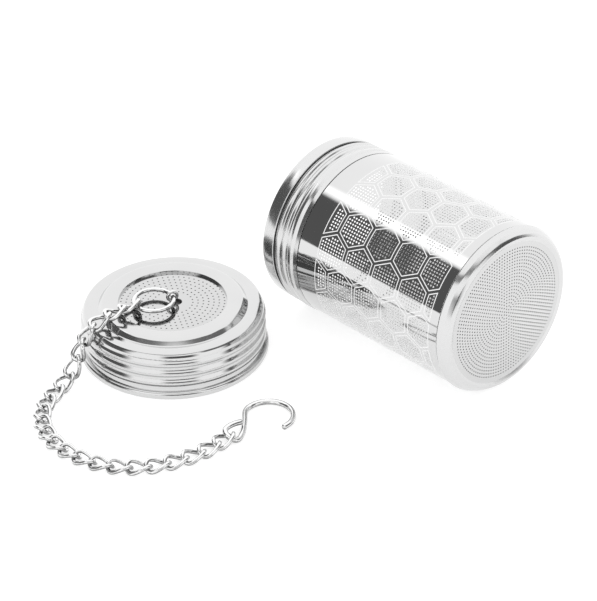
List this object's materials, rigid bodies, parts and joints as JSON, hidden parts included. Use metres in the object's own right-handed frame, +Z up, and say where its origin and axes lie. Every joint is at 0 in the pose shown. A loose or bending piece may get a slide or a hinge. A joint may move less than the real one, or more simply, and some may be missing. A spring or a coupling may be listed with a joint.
{
  "type": "tea infuser",
  "caption": "Stainless steel tea infuser: a perforated cylinder basket on its side, its ribbed screw lid beside it, and a curb chain with an S-hook.",
  "frame": {"origin": "middle of the footprint of the whole laid-out set, on the table it stands on", "axes": "+Z up; the basket's axis runs along +X, its mouth towards -X and its perforated base at the +X end; the lid, chain and hook lie on the -Y side"},
  "size_m": [0.1042, 0.13, 0.0479],
  "materials": {
    "polished_sheet": "mirror-polished stainless sheet with fine turning lines",
    "satin_sheet": "satin stainless sheet, perforated",
    "bright_wire": "bright drawn stainless wire"
  },
  "bodies": {
    "basket": {"basket_collar": "polished_sheet", "basket_wall": "polished_sheet", "base_rim": "polished_sheet", "base_strainer": "satin_sheet"},
    "lid": {"lid_cap": "polished_sheet", "lid_strainer": "satin_sheet"},
    "eyelet": {"lid_eyelet": "bright_wire"},
    "ring": {"chain_ring": "bright_wire"},
    "hook": {"s_hook": "bright_wire"},
    "link_01": {"chain_link_01": "bright_wire"},
    "link_02": {"chain_link_02": "bright_wire"},
    "link_03": {"chain_link_03": "bright_wire"},
    "link_04": {"chain_link_04": "bright_wire"},
    "link_05": {"chain_link_05": "bright_wire"},
    "link_06": {"chain_link_06": "bright_wire"},
    "link_07": {"chain_link_07": "bright_wire"},
    "link_08": {"chain_link_08": "bright_wire"},
    "link_09": {"chain_link_09": "bright_wire"},
    "link_10": {"chain_link_10": "bright_wire"},
    "link_11": {"chain_link_11": "bright_wire"},
    "link_12": {"chain_link_12": "bright_wire"},
    "link_13": {"chain_link_13": "bright_wire"},
    "link_14": {"chain_link_14": "bright_wire"},
    "link_15": {"chain_link_15": "bright_wire"},
    "link_16": {"chain_link_16": "bright_wire"},
    "link_17": {"chain_link_17": "bright_wire"},
    "link_18": {"chain_link_18": "bright_wire"},
    "link_19": {"chain_link_19": "bright_wire"},
    "link_20": {"chain_link_20": "bright_wire"},
    "link_21": {"chain_link_21": "bright_wire"},
    "link_22": {"chain_link_22": "bright_wire"},
    "link_23": {"chain_link_23": "bright_wire"}
  },
  "joints": [
    {"name": "lid_lift", "type": "slide", "parent": "basket", "child": "lid", "axis": [0, 0, 1], "range_m": [0, 0.06]},
    {"name": "eyelet_swivel", "type": "hinge", "parent": "lid", "child": "eyelet", "pos_m": [-0.0262, -0.0082, 0.014], "axis": [0, 0, 1], "range_deg": [-100, 8]},
    {"name": "ring_lift", "type": "hinge", "parent": "eyelet", "child": "ring", "pos_m": [-0.0262, -0.0082, 0.01655], "axis": [-0.9903, -0.1392, 0], "range_deg": [0, 10]},
    {"name": "link_01_swing", "type": "hinge", "parent": "ring", "child": "link_01", "pos_m": [-0.03032, -0.01734, 0.01655], "axis": [-0.5736, -0.8192, 0], "range_deg": [0, 8]},
    {"name": "link_02_swing", "type": "hinge", "parent": "link_01", "child": "link_02", "pos_m": [-0.0306, -0.02236, 0.01711], "axis": [-0.5736, -0.8192, 0], "range_deg": [0, 4]},
    {"name": "link_03_swing", "type": "hinge", "parent": "link_02", "child": "link_03", "pos_m": [-0.03085, -0.02741, 0.01735], "axis": [-0.5736, -0.8192, 0], "range_deg": [0, 8]},
    {"name": "link_04_swing", "type": "hinge", "parent": "link_03", "child": "link_04", "pos_m": [-0.03175, -0.03206, 0.01558], "axis": [-0.5736, -0.8192, 0], "range_deg": [0, 8]},
    {"name": "link_05_swing", "type": "hinge", "parent": "link_04", "child": "link_05", "pos_m": [-0.03281, -0.03505, 0.01163], "axis": [-0.5736, -0.8192, 0], "range_deg": [0, 8]},
    {"name": "link_06_swing", "type": "hinge", "parent": "link_05", "child": "link_06", "pos_m": [-0.03333, -0.03691, 0.00695], "axis": [-0.5736, -0.8192, 0], "range_deg": [0, 8]},
    {"name": "link_07_swing", "type": "hinge", "parent": "link_06", "child": "link_07", "pos_m": [-0.03309, -0.03994, 0.0029], "axis": [-0.5736, -0.8192, 0], "range_deg": [0, 4]},
    {"name": "link_08_swing", "type": "hinge", "parent": "link_07", "child": "link_08", "pos_m": [-0.03219, -0.04473, 0.00146], "axis": [-0.5736, -0.8192, 0], "range_deg": [0, 8]},
    {"name": "link_09_swing", "type": "hinge", "parent": "link_08", "child": "link_09", "pos_m": [-0.03064, -0.04956, 0.00144], "axis": [0, 0, -1], "range_deg": [-8, 8]},
    {"name": "link_10_swing", "type": "hinge", "parent": "link_09", "child": "link_10", "pos_m": [-0.0282, -0.054, 0.00145], "axis": [0, 0, 1], "range_deg": [-8, 8]},
    {"name": "link_11_swing", "type": "hinge", "parent": "link_10", "child": "link_11", "pos_m": [-0.02469, -0.05766, 0.00145], "axis": [0, 0, -1], "range_deg": [-8, 8]},
    {"name": "link_12_swing", "type": "hinge", "parent": "link_11", "child": "link_12", "pos_m": [-0.02036, -0.06032, 0.00145], "axis": [0, 0, 1], "range_deg": [-8, 8]},
    {"name": "link_13_swing", "type": "hinge", "parent": "link_12", "child": "link_13", "pos_m": [-0.01556, -0.06195, 0.00145], "axis": [0, 0, -1], "range_deg": [-8, 8]},
    {"name": "link_14_swing", "type": "hinge", "parent": "link_13", "child": "link_14", "pos_m": [-0.01051, -0.06253, 0.00145], "axis": [0, 0, 1], "range_deg": [-8, 8]},
    {"name": "link_15_swing", "type": "hinge", "parent": "link_14", "child": "link_15", "pos_m": [-0.00545, -0.06218, 0.00145], "axis": [0, 0, -1], "range_deg": [-8, 8]},
    {"name": "link_16_swing", "type": "hinge", "parent": "link_15", "child": "link_16", "pos_m": [-0.00051, -0.06097, 0.00145], "axis": [0, 0, 1], "range_deg": [-8, 8]},
    {"name": "link_17_swing", "type": "hinge", "parent": "link_16", "child": "link_17", "pos_m": [0.0041, -0.05886, 0.00145], "axis": [0, 0, -1], "range_deg": [-8, 8]},
    {"name": "link_18_swing", "type": "hinge", "parent": "link_17", "child": "link_18", "pos_m": [0.00819, -0.05585, 0.00145], "axis": [0, 0, 1], "range_deg": [-8, 8]},
    {"name": "link_19_swing", "type": "hinge", "parent": "link_18", "child": "link_19", "pos_m": [0.01153, -0.05203, 0.00145], "axis": [0, 0, -1], "range_deg": [-8, 8]},
    {"name": "link_20_swing", "type": "hinge", "parent": "link_19", "child": "link_20", "pos_m": [0.01398, -0.0476, 0.00145], "axis": [0, 0, 1], "range_deg": [-8, 8]},
    {"name": "link_21_swing", "type": "hinge", "parent": "link_20", "child": "link_21", "pos_m": [0.01571, -0.04285, 0.00145], "axis": [0, 0, -1], "range_deg": [-12, 12]},
    {"name": "link_22_swing", "type": "hinge", "parent": "link_21", "child": "link_22", "pos_m": [0.01683, -0.03792, 0.00145], "axis": [0, 0, 1], "range_deg": [-12, 12]},
    {"name": "link_23_swing", "type": "hinge", "parent": "link_22", "child": "link_23", "pos_m": [0.0172, -0.03288, 0.00166], "axis": [0, 0, -1], "range_deg": [-12, 12]},
    {"name": "hook_swing", "type": "hinge", "parent": "link_23", "child": "hook", "pos_m": [0.0171, -0.02784, 0.00195], "axis": [0, 0, 1], "range_deg": [-12, 11]}
  ]
}
